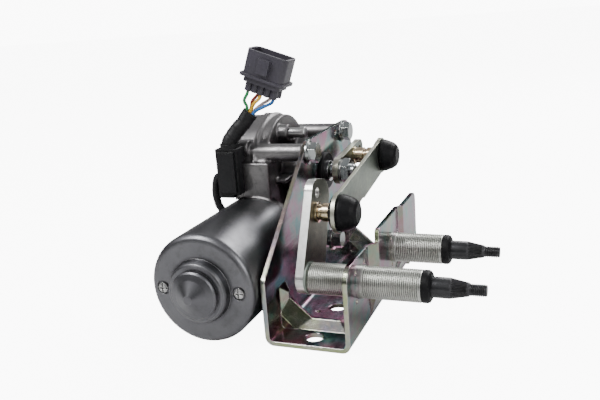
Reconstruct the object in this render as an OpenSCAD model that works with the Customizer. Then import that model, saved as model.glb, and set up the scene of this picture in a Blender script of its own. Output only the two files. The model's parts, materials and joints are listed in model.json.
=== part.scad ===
// Windshield wiper drive: pressed steel bracket, two wiper pivots,
// crank linkage and a permanent-magnet gear motor.
// Axes: X runs outward along the wiper pivots, Y runs along the bracket, Z is up.
// Origin: midway between the two floor mounting holes, on the underside of the floor.
// Inside the modules, lengths are counted from the outer bottom corner of the
// bracket at its near end, and placed() carries every piece to the origin.
// There the back wall stands at x = 0, the motor is at negative x and the front
// wall and pivots are at positive x.
// All sizes are millimetres. Drawn with the crank and link in line (parked).

/* [Bracket] */
// Sheet thickness of the pressed bracket
sheet_t = 2.3; // [2.0:0.1:2.5]
// Length of the channel along Y
bracket_len = 147; // [145:1:155]
// Outside radius of the two long bends
bend_r = 4.5; // [4:0.1:5.5]
// Height of the tall end of the back wall
back_h = 88.6; // [87:0.2:94]
// Height of the front wall at the driven pivot
front_h1 = 42; // [40:0.5:44]
// Height of the front wall at the idle pivot
front_h2 = 48.5; // [46:0.5:50]
// Radius of the two floor mounting holes
floor_hole_r = 4.5; // [3.5:0.1:5]
// Height of the stiffening ribs above the floor
rib_h = 5; // [3:0.5:6]

/* [Pivots] */
// Distance from the driven pivot to the idle pivot
pivot_gap = 52; // [51:0.5:53]
// Thread radius of the pivot sleeves
sleeve_r = 8; // [7.6:0.1:8.2]
// Radius of the wiper shafts
shaft_r = 5; // [4.6:0.1:5.2]
// Where the pivot sleeves end
sleeve_end = 74.7; // [70:0.1:78]
// Length of the fine thread at the shaft ends
shaft_thread_len = 8.3; // [6:0.1:12]

/* [Linkage] */
// Distance from the output shaft to the crank ball
crank_throw = 26; // [25:0.5:27]
// Thickness of the link strip
link_t = 2.1; // [1.6:0.1:2.1]
// Width of the link strip
link_w = 19.4; // [17:0.2:20]
// Radius of the balls
ball_r = 5.3; // [4.8:0.1:5.4]
// Thickness of the drive lever
lever_t = 4.2; // [3.6:0.1:4.2]

/* [Gear motor] */
// Outside radius of the motor can
can_r = 28.3; // [27:0.1:28.4]
// Outside radius of the gear drum
drum_r = 33.3; // [32.6:0.1:34]
// Teeth on the worm wheel
wheel_teeth = 60; // [40:1:72]
// Radius of the mounting boss columns
column_r = 4.9; // [4.4:0.1:5.2]
// Slots in the armature
slots = 10; // [6:1:12]

/* [Hidden] */
$fn = 64;
overlap = 0.01;
run_clear = 0.04;    // play of a shaft in its bush

// Places named *_at are [y, z]
function polar(r, a) = r * [cos(a), sin(a)];
driven_at = [21, 28.6];
idle_at = driven_at + [pivot_gap, 0];
output_at = [95.5, 65.8];
lower_ball_at = [38.5, 57.8];
arm_angle = 7.98;    // slope of crank and link
upper_ball_at = output_at + polar(crank_throw, arm_angle);
mount_at = [[70, 82], [129, 83], [101, 21.5]];
vent_at = [87, 90];
motor_x = -29;
motor_z = 29.8;
floor_hole_x = 22.5;
floor_hole_y = [9, 45.5];

bronze = [0.70, 0.55, 0.32];
black_rubber = [0.10, 0.10, 0.10];

// ---- helpers ----
module placed() {
  translate([-floor_hole_x, -(floor_hole_y[0] + floor_hole_y[1]) / 2, 0]) children();
}
module at_x(x, at) {
  translate([x, at[0], at[1]]) children();
}
// cylinders along X, Y and Z; along Y the motor axis is the default
module rod_x(x0, x1, r, at) {
  at_x(x0, at) rotate([0, 90, 0]) cylinder(h = x1 - x0, r = r);
}
module rod_y(y0, y1, r, x = motor_x, z = motor_z) {
  translate([x, y0, z]) rotate([-90, 0, 0]) cylinder(h = y1 - y0, r = r);
}
module rod_z(z0, z1, r, x, y) {
  translate([x, y, z0]) cylinder(h = z1 - z0, r = r);
}
// hexagonal bar along X, r across the corners
module hex_x(x0, x1, r, at) {
  at_x(x0, at) rotate([0, 90, 0]) cylinder(h = x1 - x0, r = r, $fn = 6);
}
// plain tubes along X and along Y on the motor axis
module tube_x(x0, x1, r, bore_r, at) {
  difference() {
    rod_x(x0, x1, r, at);
    rod_x(x0 - 1, x1 + 1, bore_r, at);
  }
}
module tube_y(y0, y1, r, bore_r) {
  difference() {
    rod_y(y0, y1, r);
    rod_y(y0 - 1, y1 + 1, bore_r);
  }
}
function swapped(points) = [for (p = points) [p[1], p[0]]];
// turned piece along X, points are [x, radius]
module turned_x(points, at) {
  at_x(0, at) rotate([0, 90, 0]) rotate_extrude() polygon(swapped(points));
}
// turned piece along Y, points are [y, radius]
module turned_y(points, x = motor_x) {
  translate([x, 0, motor_z]) rotate([-90, 0, 0]) rotate_extrude() polygon(swapped(points));
}
// flat piece in the YZ plane between two x values
module plate_x(x0, x1) {
  translate([x0, 0, 0]) rotate([90, 0, 90]) linear_extrude(x1 - x0) children();
}
// XZ section run along Y
module run_y(y0, y1) {
  translate([0, y1, 0]) rotate([90, 0, 0]) linear_extrude(y1 - y0) children();
}
function arc(centre, r, a0, a1, n) =
  [for (i = [0:n]) centre + polar(r, a0 + (a1 - a0) * i / n)];
// round bar between two points
module bar(start, end, r) {
  span = end - start;
  len_bar = norm(span);
  translate(start) rotate([0, acos(span[2] / len_bar), atan2(span[1], span[0])])
    cylinder(h = len_bar, r = r);
}
// bar that follows a list of points with round elbows
module bent_bar(points, r) {
  for (i = [0:len(points) - 2]) bar(points[i], points[i + 1], r);
  for (i = [1:len(points) - 2]) translate(points[i]) sphere(r = r * 1.07);
}

// ---- bracket ----
wall1_x = 44;            // outside of the front wall at its three steps
wall2_x = 48.2;
wall3_x = 50.4;
step_y = [36, 41, 82, 85, 124];  // step 1 end, step 2 start, end, step 3 start, end
knee = 20;               // height where the outer steps stand up straight
blank_h = 60;            // front wall height before its outline is cut
front_end_y = 121;       // far end of the front bend
seat_r = sleeve_r + 0.2; // sleeve seat
register_r = 7.6;        // output boss register
rib_y = [15.5, 131];     // near foot of each rib
rib_top = 25;            // height of the ribs on the back wall
rib_w = 9.5;

// quarter tube for a long bend centred on x; side is -1 at the back, 1 at the front
module bend(y1, x, side) {
  difference() {
    rod_y(0, y1, bend_r, x, bend_r);
    rod_y(-1, y1 + 1, bend_r - sheet_t, x, bend_r);
    translate([x - bend_r - 1, -1, bend_r]) cube([2 * bend_r + 2, y1 + 2, bend_r + 1]);
    translate([side > 0 ? x - bend_r - 1 : x, -1, -1]) cube([bend_r + 1, y1 + 2, bend_r + 2]);
  }
}
module back_wall() {
  near_r = 4;
  peak_r = 9;
  far_r = 10.5;
  plate_x(0, sheet_t) polygon(concat(
    [[0, bend_r], [0, 30.5]],
    arc([near_r, 31.6], near_r, 180, 128, 5),
    arc([73.4, back_h - peak_r], peak_r, 127, 90, 6),
    arc([bracket_len - far_r, back_h - far_r], far_r, 90, 0, 10),
    [[bracket_len, bend_r]]));
}
// sloping foot of the front wall, corners as [x, z]
function wall_foot(x_out) = [[wall1_x - sheet_t, bend_r], [wall1_x, bend_r],
  [x_out, knee], [x_out - sheet_t, knee]];
// front wall at one step: slopes out from the floor, then stands up
module wall_step(y0, y1, x_out) {
  foot = wall_foot(x_out);
  run_y(y0, y1) polygon([foot[0], foot[1], foot[2],
    [x_out, blank_h], [x_out - sheet_t, blank_h], foot[3]]);
}
// block between two four-cornered sections, corners given as [x, z]
module loft(y0, section0, y1, section1) {
  polyhedron(
    points = concat([for (p = section0) [p[0], y0, p[1]]], [for (p = section1) [p[0], y1, p[1]]]),
    faces = [[0, 2, 1], [0, 3, 2], [4, 5, 6], [4, 6, 7],
      [0, 5, 4], [0, 1, 5], [1, 6, 5], [1, 2, 6], [2, 7, 6], [2, 3, 7], [3, 4, 7], [3, 0, 4]]);
}
// front wall between two steps
module wall_ramp(y0, x_out0, y1, x_out1) {
  translate([0, 0, knee]) linear_extrude(blank_h - knee) polygon([[x_out0 - sheet_t, y0],
    [x_out0, y0], [x_out1, y1], [x_out1 - sheet_t, y1]]);
  loft(y0, wall_foot(x_out0), y1, wall_foot(x_out1));
}
module front_wall() {
  near_r = 8;
  rise_y = 42;      // where the top edge steps up
  rise_in_r = 1.5;
  rise_out_r = 2.5;
  intersection() {
    union() {
      translate([wall1_x - sheet_t, -3, bend_r])
        cube([sheet_t, step_y[0] + 3, blank_h - bend_r]);
      wall_ramp(step_y[0], wall1_x, step_y[1], wall2_x);
      wall_step(step_y[1], step_y[2], wall2_x);
      wall_ramp(step_y[2], wall2_x, step_y[3], wall3_x);
      wall_step(step_y[3], step_y[4], wall3_x);
    }
    // side outline: low near end, step up after the driven pivot, slanted far edge
    plate_x(30, 60) polygon(concat(
      [[0, 0]],
      arc([near_r, front_h1 - near_r], near_r, 180, 90, 8),
      arc([rise_y - rise_in_r, front_h1 + rise_in_r], rise_in_r, 270, 360, 4),
      arc([rise_y + rise_out_r, front_h2 - rise_out_r], rise_out_r, 180, 90, 4),
      arc([111, front_h2 - 4.6], 5, 90, 0, 6),
      [[116, 24], [front_end_y, 0]]));
  }
}
// pressed rib across the floor and up the back wall, and up the front wall if there is one
module rib(y0, front) {
  crest0 = y0 + 4;
  crest1 = y0 + 5.5;
  crest_w = crest1 - crest0;
  foot1 = y0 + rib_w;
  sunk = 0.6;               // depth of the rib's root in the sheet
  root = sheet_t - sunk;
  front_root = wall1_x - root;
  h = rib_h + sunk;
  back_depth = 4.4;         // crest depth on each wall
  front_depth = 4.2;
  front_top = 15;
  plate_x(root, front ? front_root : 36)
    polygon([[y0, root], [crest0, root + h], [crest1, root + h], [foot1, root]]);
  // up the back wall, fading out at the top
  intersection() {
    translate([0, 0, root]) linear_extrude(rib_top) polygon([[root, y0],
      [root + back_depth, crest0], [root + back_depth, crest1], [root, foot1]]);
    run_y(y0 - 1, foot1 + 1) polygon([[0, 0], [8, 0], [8, rib_top - 6], [root, rib_top]]);
  }
  // diagonal crest over the back corner
  hull() {
    translate([root, y0, root]) cube([8, rib_w, sunk]);
    translate([root, y0, root]) cube([sunk, rib_w, 8]);
    translate([root + 15, crest0, root]) cube([1, crest_w, h]);
    translate([root, crest0, root + 15]) cube([back_depth, crest_w, 1]);
  }
  if (front) {
    // up the foot of the front wall
    intersection() {
      translate([0, 0, root]) linear_extrude(front_top) polygon([[front_root, y0],
        [front_root - front_depth, crest0], [front_root - front_depth, crest1],
        [front_root, foot1]]);
      run_y(y0 - 1, foot1 + 1)
        polygon([[wall1_x, 0], [36, 0], [36, 8], [front_root, front_top]]);
    }
    // diagonal crest over the front corner
    hull() {
      translate([front_root - 5, y0, root]) cube([5, rib_w, sunk]);
      translate([front_root - sunk, y0, root]) cube([sunk, rib_w, 5]);
      translate([front_root - 10, crest0, root]) cube([1, crest_w, h]);
      translate([front_root - front_depth, crest0, root + 8]) cube([front_depth, crest_w, 1]);
    }
  }
}
// groove section, points are [y, depth]
function groove(y0, depth) = [[y0 + 1.6, -1], [y0 + 1.6, 0], [y0 + 4.4, depth],
  [y0 + 5.1, depth], [y0 + 7.9, 0], [y0 + 7.9, -1]];
// grooves left on the outside of a rib, in the floor and in the back wall
module rib_groove(y0) {
  start = 7;
  plate_x(start, wall1_x - 9) polygon(groove(y0, 3.4));
  translate([0, 0, start]) linear_extrude(rib_top - 6 - start)
    polygon(swapped(groove(y0, 2.8)));
}
module bracket() {
  color([0.72, 0.70, 0.66]) difference() {
    union() {
      translate([bend_r, 0, 0]) cube([wall1_x - 2 * bend_r, bracket_len, sheet_t]);
      translate([wall1_x - bend_r, front_end_y, 0])
        cube([bend_r, bracket_len - front_end_y, sheet_t]);
      bend(bracket_len, bend_r, -1);
      bend(front_end_y, wall1_x - bend_r, 1);
      back_wall();
      front_wall();
      rib(rib_y[0], true);
      rib(rib_y[1], false);
    }
    for (y = rib_y) rib_groove(y);
    // floor mounting holes and dimple
    for (y = floor_hole_y) rod_z(-1, sheet_t + 6, floor_hole_r, floor_hole_x, y);
    translate([14, 38, sheet_t - 0.8]) cylinder(h = 1.6, r1 = 0.7, r2 = 2.3);
    // far corner of the floor, where the front wall has ended
    translate([wall1_x, bracket_len, -1]) rotate([0, 0, 45])
      translate([-6, -6, 0]) cube([12, 12, 10]);
    // motor mounting holes, output boss register and a small location hole
    for (at = mount_at) rod_x(-1, 12, 3.3, at);
    rod_x(-1, 12, register_r + 0.1, output_at);
    rod_x(-1, 12, 1.75, [117, 84.6]);
    // sleeve seats in the front wall, with the punch marks that hold the sleeves
    for (seat = [[wall1_x, driven_at], [wall2_x, idle_at]]) {
      rod_x(30, 60, seat_r, seat[1]);
      for (a = [45, 135, 225, 315])
        at_x(seat[0] + 0.3, seat[1] + polar(sleeve_r + 2.4, a)) sphere(r = 1.3, $fn = 20);
    }
  }
}

// ---- gearbox ----
cover_x = -40;           // joint between housing and cover
cover_out_x = -42.2;     // outer face of the cover's rim
drum_face_x = -21.5;     // drum face towards the bracket
lug_r = 4.4;
lugs_at = [for (a = [55, 145, 215, 325]) output_at + polar(drum_r + 0.2, a)];
through_x = [motor_x - 21, motor_x + 21];  // through bolts of the motor, at motor_z
motor_shaft_r = 4;
front_bush_r = 8.2;
worm_bush_r = 7.4;
output_bush_r = 7.4;
output_r = 6;            // output shaft
output_thread_r = 4;

module gear_housing() {
  color([0.66, 0.67, 0.68]) difference() {
    union() {
      rod_x(cover_x, drum_face_x, drum_r, output_at);
      rod_x(-29.4, -27.6, drum_r + 1.4, output_at);
      // output boss and its register in the bracket
      rod_x(-22, 0, 11, output_at);
      rod_x(-1, sheet_t, register_r, output_at);
      // ribs round the output boss
      for (a = [20:72:308])
        at_x(-21.6, output_at) rotate([a, 0, 0]) translate([0, -1.3, 9]) cube([9, 2.6, 16]);
      // boss columns
      for (at = mount_at) rod_x(-36, 0, column_r, at);
      // webs that tie the outer columns to the drum
      translate([-36, 118, 72]) cube([14, 10, 9]);
      translate([-30, 97, 20]) cube([10, 8, 14]);
      // worm tunnel and its closed end
      rod_y(64, 128, 11);
      rod_y(128, 131, 8.6);
      // mouth that closes the motor can
      rod_y(60, 66, can_r);
      rod_y(57, 60.5, can_r - 2.1);
      rod_y(66, 72, 17);
      // flat pad beside the drum, with a lip at its foot
      translate([-36, 61, 50]) cube([17, 14, 27.5]);
      translate([-36, 59.6, 50]) cube([17, 2, 3.4]);
      // seat of the vent stub
      rod_x(-24, -15, 5, vent_at);
      // cover screw lugs
      for (at = lugs_at) rod_x(cover_x, -32, lug_r, at);
    }
    // wheel chamber, worm tunnel and shaft bore
    rod_x(cover_x - 1, -24, 30.4, output_at);
    rod_y(70, 128.2, worm_bush_r);
    rod_y(56, 71, front_bush_r);
    rod_x(-30, 5, output_bush_r, output_at);
    // screw holes
    for (at = mount_at) rod_x(-18, 1, 2.55, at);
    for (at = lugs_at) rod_x(cover_x - 1, -33, 1.75, at);
    for (x = through_x) rod_y(56, 65, 2.0, x);
    // cable entry in the mouth
    bar([-53.8, 63, 51.3], [-46.9, 63, 46.4], 2.5);
    // brush gear pocket in the mouth
    rod_y(56, 59, 16);
    // vent hole
    rod_x(-25, -14, 2.1, vent_at);
    // room for the vent stub and for the screw head beside the mouth
    rod_x(-15, -4, 3.3, vent_at);
    rod_x(-56, cover_x - 1, 4, lugs_at[2]);
  }
}
module gear_cover() {
  color([0.60, 0.61, 0.62]) difference() {
    union() {
      rod_x(cover_out_x, cover_x, drum_r, output_at);
      rod_x(-43.4, -42, 22, output_at);
      rod_x(-40.2, -38.8, 30.2, output_at);
      for (at = lugs_at) rod_x(cover_out_x, cover_x, lug_r, at);
    }
    rod_x(-40.6, -38, 28, output_at);
    // clear of the motor mouth
    rod_y(55, 66.3, can_r + 0.3);
    rod_y(60, 72.3, 17.3);
    for (at = lugs_at) rod_x(-44, -39, 1.7, at);
  }
}
// hexagon socket screws
module cover_screws() {
  head_x = cover_out_x - 2.2;
  color([0.55, 0.55, 0.53])
    for (at = lugs_at)
      difference() {
        union() {
          rod_x(head_x, cover_out_x, 3.4, at);
          rod_x(cover_out_x - 0.1, -33.5, 1.6, at);
        }
        hex_x(head_x - 0.1, head_x + 1.3, 1.9, at);
      }
}
module vent_stub() {
  color([0.55, 0.56, 0.55]) turned_x([[-22, 0], [-22, 2.0], [-15, 2.0], [-15, 3.0],
    [-8, 3.0], [-8, 3.4], [-5.4, 3.4], [-5, 3.0], [-5, 0]], vent_at);
}
// hexagon flange bolts, heads on the bracket side
module mounting_bolts() {
  color([0.74, 0.70, 0.55])
    for (at = mount_at) {
      rod_x(-16, sheet_t + overlap, 2.5, at);
      turned_x([[sheet_t, 0], [sheet_t, 6.65], [sheet_t + 0.9, 6.65],
        [sheet_t + 1.9, 5.2], [sheet_t + 1.9, 0]], at);
      // head with chamfered corners
      intersection() {
        hex_x(sheet_t, sheet_t + 6, 5.77, at);
        turned_x([[sheet_t, 0], [sheet_t, 6], [7.6, 6], [8.3, 4.8], [8.3, 0]], at);
      }
    }
}

// ---- motor ----
can_wall = 2;
can_end_y = -7.3;        // closed end of the can
can_mouth_y = 59.9;
can_corner_r = 3.75;
hub_y = -12.4;           // end of the hub, where the bearing cap sits
bolt_seat_y = -6.4;      // under the through bolt heads
rear_bush_y = -11.4;
rear_bush_r = 8;
slot_ring_r = 14.4;      // ring through the rounded slot bottoms
brush_gear_y = 56.1;     // near face of the brush plate

module motor_can() {
  color([0.62, 0.63, 0.65]) difference() {
    union() {
      turned_y(concat([[can_end_y, 0]],
        arc([can_end_y + can_corner_r, can_r - can_corner_r], can_corner_r, 180, 90, 6),
        [[can_mouth_y, can_r], [can_mouth_y, 0]]));
      turned_y([[hub_y, 0], [hub_y, 14.2], [-11.8, 15.2], [-10.6, 15.8], [-7, 16.4], [-7, 0]]);
    }
    rod_y(can_end_y + can_wall, 61, can_r - can_wall);
    // bush pocket and shaft opening
    rod_y(rear_bush_y, -5, rear_bush_r);
    rod_y(-13, -5, 5);
    // pockets and holes of the through bolts
    for (x = through_x) {
      rod_y(-8, bolt_seat_y, 3.6, x);
      rod_y(-9, -5, 2.1, x);
    }
  }
}
module bearing_cap() {
  color([0.58, 0.59, 0.60]) turned_y([[-20.2, 0], [-20.2, 2.2], [-19.6, 3.2],
    [-16.4, 8.6], [-15.2, 11.6], [-14.4, 12.3], [hub_y, 12.3], [hub_y, 10.6],
    [-14, 10.4], [-15.2, 8], [-18.4, 2.4], [-18.4, 0]]);
}
module through_bolts() {
  color([0.45, 0.45, 0.44])
    for (x = through_x)
      difference() {
        union() {
          turned_y([[-8.4, 0], [-8.4, 1.8], [-7.9, 2.6], [bolt_seat_y, 2.6],
            [bolt_seat_y, 0]], x);
          rod_y(-6.5, 63.5, 1.9, x);
        }
        // cross recess
        translate([x - 0.4, -8.5, motor_z - 3]) cube([0.8, 0.9, 6]);
        translate([x - 3, -8.5, motor_z - 0.4]) cube([6, 0.9, 0.8]);
      }
}
module field_magnets() {
  color([0.24, 0.24, 0.25])
    for (side = [-1, 1])
      difference() {
        rod_y(0, 40, can_r - can_wall - 0.05);
        rod_y(-1, 41, 19.6);
        // keep a span of the ring above or below the bolts
        translate([motor_x - 40, -2, motor_z - (side > 0 ? 40 : 8)]) cube([80, 44, 48]);
      }
}
// copies at every slot, turned by a share of the slot pitch, about the motor axis
module each_slot(shift = 0) {
  for (i = [0:slots - 1])
    translate([motor_x, 0, motor_z]) rotate([0, (i + shift) * 360 / slots, 0]) children();
}
module armature_core() {
  color([0.40, 0.40, 0.42]) difference() {
    rod_y(3, 36, 18.6);
    rod_y(2, 37, motor_shaft_r);
    each_slot() {
      rod_y(2, 37, 2.2, slot_ring_r, 0);
      translate([15, 2, -0.7]) cube([5, 35, 1.4]);
    }
  }
}
module armature_winding() {
  color([0.72, 0.40, 0.22]) union() {
    each_slot() rod_y(1, 38, 2.15, slot_ring_r, 0);
    // end turns
    for (y = [0.6, 36.05]) tube_y(y, y + 2.35, 17, 9);
  }
}
module commutator() {
  color([0.78, 0.48, 0.28]) difference() {
    union() {
      rod_y(41, 53, 9);
      rod_y(41, 43, 10.5);
    }
    rod_y(40, 54, motor_shaft_r);
    each_slot(0.5) translate([8, 40, -0.25]) cube([4, 14, 0.5]);
  }
}
module worm_shaft() {
  // the worm itself is drawn as its outside cylinder
  color([0.60, 0.61, 0.63]) turned_y([[-10.9, 0], [-10.9, 3.4], [-10.3, motor_shaft_r],
    [79, motor_shaft_r], [81, 6.2], [110, 6.2], [112, motor_shaft_r],
    [126.4, motor_shaft_r], [127, 3.4], [127, 0]]);
}
module motor_bush(y0, y1, r) {
  color(bronze) tube_y(y0, y1, r, motor_shaft_r + run_clear);
}
module motor_rear_bush() {
  motor_bush(rear_bush_y, -4.6, rear_bush_r);
}
module motor_front_bush() {
  motor_bush(60.5, 69.8, front_bush_r);
}
module worm_end_bush() {
  motor_bush(117, 127.2, worm_bush_r);
}
module brush_holder() {
  color([0.30, 0.22, 0.16]) difference() {
    union() {
      rod_y(brush_gear_y, 57, 25.8);
      rod_y(brush_gear_y, 58.8, 15.8);
      for (side = [-1, 1])
        translate([motor_x - 4, 45, motor_z + side * 15 - 5]) cube([8, 12, 10]);
    }
    rod_y(44, 60, 9.6);
    for (side = [-1, 1])
      translate([motor_x - 2.6, 46.5, motor_z + side * 15 - 6]) cube([5.2, 6, 12]);
    for (x = through_x) rod_y(55, 58, 2.6, x);
  }
}
module brushes() {
  color([0.20, 0.20, 0.21])
    for (side = [-1, 1])
      difference() {
        translate([motor_x - 2.5, 46.6, motor_z + side * 13.7 - 5.5]) cube([5, 5.8, 11]);
        rod_y(44, 54, 9.08);
      }
}

// ---- worm wheel and output shaft ----
// one tooth: [share of the pitch, radius]
tooth = [[-0.32, 27.5], [-0.16, 29.6], [0.16, 29.6], [0.32, 27.5]];

module worm_wheel() {
  color([0.84, 0.82, 0.74]) difference() {
    union() {
      plate_x(-33.5, -24.5) polygon([for (i = [0:wheel_teeth - 1]) for (k = tooth)
        output_at + polar(k[1], (i + k[0]) * 360 / wheel_teeth)]);
      rod_x(-37.6, -33, 10, output_at);
    }
    // ring recess in each face
    for (x = [-34.5, -26.7]) difference() {
      rod_x(x, x + 3.2, 24, output_at);
      rod_x(x - 1, x + 5, 11, output_at);
    }
    rod_x(-40, -20, output_r, output_at);
  }
}
module output_shaft() {
  color([0.50, 0.51, 0.52]) turned_x([[-38.2, 0], [-38.2, output_r], [5.6, output_r],
    [6.4, output_thread_r], [20.2, output_thread_r], [21, 3.2], [21, 0]], output_at);
}
module output_bush() {
  color(bronze) tube_x(-24, 2.2, output_bush_r, output_r + run_clear, output_at);
}
module shaft_seal_washer() {
  bore_r = output_r + 0.05;
  color(black_rubber) turned_x([[sheet_t, bore_r], [sheet_t, 11], [sheet_t + 1.2, 11],
    [sheet_t + 2.0, 10.2], [sheet_t + 2.0, bore_r]], output_at);
}

// ---- crank, link and lever ----
crank_x = 9;             // crank faces: towards the bracket, outward
crank_out_x = 12.3;
nut_x = 13.6;            // nut face on the lock washer
stud_r = 3.6;            // upper stud in the crank
lever_out_x = 17;        // outward face of the drive lever
link_x = 27.8;           // link faces: towards the bracket, outward
link_out_x = link_x + link_t;
ball_x = 32.8;
balls_at = [lower_ball_at, upper_ball_at];

// frame at a place, its Y along the crank and link
module along_arm(at) {
  at_x(0, at) rotate([arm_angle, 0, 0]) children();
}
module crank_arm() {
  tip_y = 39;
  tip_r = 5.5;
  color([0.70, 0.70, 0.67]) difference() {
    along_arm(output_at) union() {
      rod_x(crank_x, crank_out_x, 7.8, [0, 0]);
      rod_x(crank_x, crank_out_x, tip_r, [tip_y, 0]);
      plate_x(crank_x, crank_out_x)
        polygon([[0, 7.2], [tip_y, tip_r], [tip_y, -tip_r], [0, -7.2]]);
    }
    rod_x(8, 13, output_thread_r, output_at);
    rod_x(8, 13, stud_r, upper_ball_at);
    along_arm(output_at) rod_x(8, 13, 2.5, [37.5, 0]);
  }
}
module crank_lock_washer() {
  color([0.45, 0.45, 0.43]) difference() {
    rod_x(crank_out_x, nut_x, 6.6, output_at);
    rod_x(12, 14, output_thread_r, output_at);
    // split
    at_x(12, output_at + [2, -0.6]) cube([2, 8, 1.2]);
  }
}
module crank_nut() {
  color([0.72, 0.70, 0.62]) difference() {
    intersection() {
      hex_x(nut_x, 18, 7.5, output_at);
      turned_x([[nut_x, 0], [nut_x, 6.9], [14.2, 7.6], [17.4, 7.6], [18, 6.9], [18, 0]],
        output_at);
    }
    rod_x(13, 19, output_thread_r, output_at);
  }
}
// collar, neck and ball on the outer side of an arm
module stud_body(x0, at) {
  turned_x([[x0, 0], [x0, 5.3], [x0 + 1.2, 5.3], [x0 + 1.6, 4.8], [18.6, 4.8],
    [19.1, 4.1], [20.5, 4.1], [21.0, 4.8], [24.3, 4.8], [24.8, 4.3], [24.8, 3.1],
    [ball_x, 3.1], [ball_x, 0]], at);
  at_x(ball_x, at) sphere(r = ball_r);
}
module upper_ball_stud() {
  color([0.76, 0.62, 0.36]) union() {
    rod_x(crank_x, crank_out_x + 0.1, stud_r, upper_ball_at);
    stud_body(crank_out_x, upper_ball_at);
  }
}
module lower_ball_stud() {
  color([0.76, 0.62, 0.36]) stud_body(lever_out_x + 0.15, lower_ball_at);
}
module link_arm() {
  link_len = norm(upper_ball_at - lower_ball_at);
  color([0.66, 0.68, 0.62]) difference() {
    along_arm(lower_ball_at) union() {
      for (y = [0, link_len]) rod_x(link_x, link_out_x, 10.6, [y, 0]);
      translate([link_x, 0, -link_w / 2]) cube([link_t, link_len, link_w]);
    }
    for (at = balls_at) rod_x(20, 40, 8, at);
    // shallow notch in the lower edge
    along_arm(lower_ball_at) translate([20, 33, -link_w / 2 - 1]) cube([20, 8, 2.1]);
  }
}
module ball_sockets() {
  cup_r = ball_r + 0.06;
  color([0.88, 0.87, 0.82])
    for (at = balls_at) difference() {
      turned_x([[link_x + 0.2, 0], [link_x + 0.2, 8], [link_out_x, 8], [31.5, 7.8],
        [36, 6.4], [38.4, 4.6], [38.4, 0]], at);
      // ball seat, open towards the stud
      turned_x(concat([[27, 0], [27, 4.7]],
        [for (a = [62:8:174]) [ball_x - cup_r * cos(a), cup_r * sin(a)]],
        [[ball_x + cup_r, 0]]), at);
    }
}
module ball_caps() {
  color(black_rubber)
    for (at = balls_at) difference() {
      turned_x([[link_out_x, 0], [link_out_x, 9.3], [31.2, 9.6], [32.8, 9.3], [36.6, 7.9],
        [38.5, 6.6], [39.5, 5.0], [39.5, 0]], at);
      turned_x([[link_out_x - 1, 0], [link_out_x - 1, 8.05], [link_out_x, 8.05],
        [31.6, 7.9], [36.2, 6.55], [38.6, 4.8], [38.6, 0]], at);
    }
}
module ball_seals() {
  color(black_rubber)
    for (at = balls_at)
      turned_x([[24.85, 3.15], [24.85, 5.2], [25.7, 5.6], [25.9, 8.0], [26.6, 9.0],
        [27.7, 9.0], [27.7, 3.15]], at);
}
module drive_lever() {
  color([0.62, 0.62, 0.52]) difference() {
    plate_x(lever_out_x - lever_t, lever_out_x) polygon(concat(
      arc(driven_at, 8.2, 158, 268, 12),
      arc([36.2, 30.2], 9.8, 275, 340, 8),
      arc([48.6, 62.6], 10, -20, 78, 10),
      arc([40.6, 67.2], 7.2, 84, 160, 8)));
    rod_x(10, 20, shaft_r, driven_at);
    rod_x(10, 20, 2.75, [41.1, 67.4]);
  }
}

// ---- pivots ----
bush_r = shaft_r + 1.4;      // bushes and sleeve bore
bush_len = 14;               // all but the idler's inner bush
driven_sleeve_x = 18.25;     // sleeve ends nearest the back wall
idler_sleeve_x = 44.8;
groove_r = shaft_r - 0.7;    // circlip groove
thread_x = sleeve_end + 21.2;
thread_end = thread_x + shaft_thread_len;
// shaft end outside the sleeve: plain, taper, thread; [x, radius]
shaft_tail = [[sleeve_end + 12.6, shaft_r], [thread_x, 3.3], [thread_x, 3.0],
  [thread_end - 0.6, 3.0], [thread_end, 2.4], [thread_end, 0]];
// chamfered outer end of a sleeve; [x, radius]
sleeve_tail = [[sleeve_end - 0.6, sleeve_r], [sleeve_end, sleeve_r - 0.6], [sleeve_end, 0]];

// points are [x, radius] of the shaft's inner end
module wiper_shaft(points, at) {
  color([0.16, 0.16, 0.16]) turned_x(concat(points, shaft_tail), at);
}
module driven_shaft() {
  lever_x = lever_out_x - lever_t;
  wiper_shaft([[11.4, 0], [11.4, 5.6], [12.0, 6.4], [lever_x, 6.4], [lever_x, shaft_r]],
    driven_at);
}
module idler_shaft() {
  wiper_shaft([[42.6, 0], [42.6, shaft_r - 0.5], [43.1, shaft_r], [43.6, shaft_r],
    [43.6, groove_r], [44.6, groove_r], [44.6, shaft_r]], idle_at);
}
// points are [x, radius] of the sleeve's inner end
module pivot_sleeve(points, at) {
  color([0.78, 0.78, 0.74]) difference() {
    turned_x(concat(points, sleeve_tail), at);
    rod_x(10, 90, bush_r, at);
  }
}
module driven_sleeve() {
  pivot_sleeve([[driven_sleeve_x, 0], [driven_sleeve_x, sleeve_r - 0.4],
    [driven_sleeve_x + 0.6, seat_r], [46.5, seat_r], [46.5, sleeve_r]], driven_at);
}
module idler_sleeve() {
  pivot_sleeve([[idler_sleeve_x, 0], [idler_sleeve_x, seat_r], [52, seat_r],
    [52, sleeve_r]], idle_at);
}
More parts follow.
